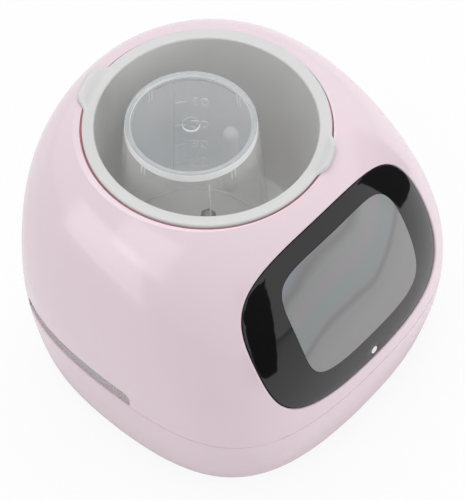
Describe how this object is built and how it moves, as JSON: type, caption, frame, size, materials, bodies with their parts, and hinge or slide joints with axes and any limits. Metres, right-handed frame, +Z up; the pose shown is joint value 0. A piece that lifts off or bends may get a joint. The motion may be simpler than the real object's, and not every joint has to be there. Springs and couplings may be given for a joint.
{
  "type": "ice cream maker",
  "caption": "Small pink single-serve ice cream maker with a dark front window, a lift-out grey bowl with grip lugs and a driven spindle, and a translucent measuring cup.",
  "frame": {"origin": "middle of the body's outline, on the surface under the feet", "axes": "+Z up, the front window faces -Y, +X to the right of someone who looks at the window"},
  "size_m": [0.1052, 0.1024, 0.0829],
  "materials": {
    "pink_shell": "glossy moulded",
    "black_window": "polished",
    "clear_film": "clear film with faint smears",
    "white_light": "frosted",
    "grey_bowl": "satin",
    "clear_cup": "milky translucent",
    "dark_spindle": "satin",
    "grey_grille": "fine texture",
    "black_plastic": "moulded",
    "white_gear": "moulded",
    "steel": "ground",
    "motor_steel": "plated",
    "bronze": "sintered",
    "aluminium": "satin",
    "ceramic": "ceramic",
    "board": "lacquered",
    "foam": "closed-cell foam",
    "rubber": "matt",
    "soft_seal": "silicone",
    "rose_seal": "silicone"
  },
  "bodies": {
    "housing": {"base_shell": "pink_shell", "case_screws": "steel", "control_board": "board", "display_module": "black_plastic", "driver_board": "board", "fan_frame_left": "black_plastic", "fan_frame_right": "black_plastic", "feet": "rubber", "gear_plate": "black_plastic", "grille_left": "grey_grille", "grille_right": "grey_grille", "heat_sink_left": "aluminium", "heat_sink_right": "aluminium", "idler_pin": "steel", "lower_bush": "bronze", "motor": "motor_steel", "peltier_left": "ceramic", "peltier_right": "ceramic", "plate_screws": "steel", "power_inlet": "black_plastic", "screen_film": "clear_film", "touch_light": "white_light", "upper_bush": "bronze", "upper_shell": "pink_shell", "well": "aluminium", "well_gasket": "rose_seal", "well_insulation": "foam", "window_carrier": "black_plastic", "window_panel": "black_window"},
    "bowl": {"bowl": "grey_bowl", "bowl_post": "grey_bowl", "spindle_bush": "bronze", "spindle_seal": "soft_seal"},
    "spindle": {"spindle": "dark_spindle", "bowl_dog": "dark_spindle"},
    "cup": {"measuring_cup": "clear_cup"},
    "drive": {"drive_gear": "white_gear", "drive_shaft": "steel", "drive_coupling": "dark_spindle"},
    "idler": {"idler_gear": "white_gear"},
    "motor_rotor": {"motor_shaft": "steel", "motor_pinion": "bronze"},
    "fan_left": {"fan_rotor_left": "black_plastic"},
    "fan_right": {"fan_rotor_right": "black_plastic"}
  },
  "joints": [
    {"name": "bowl_lift", "type": "slide", "parent": "housing", "child": "bowl", "axis": [0, 0, 1], "range_m": [0, 0.065]},
    {"name": "cup_lift", "type": "slide", "parent": "bowl", "child": "cup", "axis": [0, 0, 1], "range_m": [0, 0.06]},
    {"name": "spindle_spin", "type": "hinge", "parent": "bowl", "child": "spindle", "pos_m": [0, 0.0088, 0.03], "axis": [0, 0, 1], "continuous": true},
    {"name": "drive_spin", "type": "hinge", "parent": "housing", "child": "drive", "pos_m": [0, 0.0088, 0.01], "axis": [0, 0, 1], "continuous": true},
    {"name": "idler_spin", "type": "hinge", "parent": "housing", "child": "idler", "pos_m": [0, -0.0124, 0.01], "axis": [0, 0, 1], "continuous": true},
    {"name": "motor_spin", "type": "hinge", "parent": "housing", "child": "motor_rotor", "pos_m": [0, -0.03, 0.012], "axis": [0, 0, 1], "continuous": true},
    {"name": "fan_left_spin", "type": "hinge", "parent": "housing", "child": "fan_left", "pos_m": [-0.044, 0.0088, 0.0342], "axis": [-1, 0, 0], "continuous": true},
    {"name": "fan_right_spin", "type": "hinge", "parent": "housing", "child": "fan_right", "pos_m": [0.044, 0.0088, 0.0342], "axis": [1, 0, 0], "continuous": true}
  ],
  "couplings": [
    {"joint": "spindle_spin", "follows": "drive_spin", "ratio": 1},
    {"joint": "idler_spin", "follows": "drive_spin", "ratio": -3.4167},
    {"joint": "motor_spin", "follows": "drive_spin", "ratio": 11.617}
  ]
}
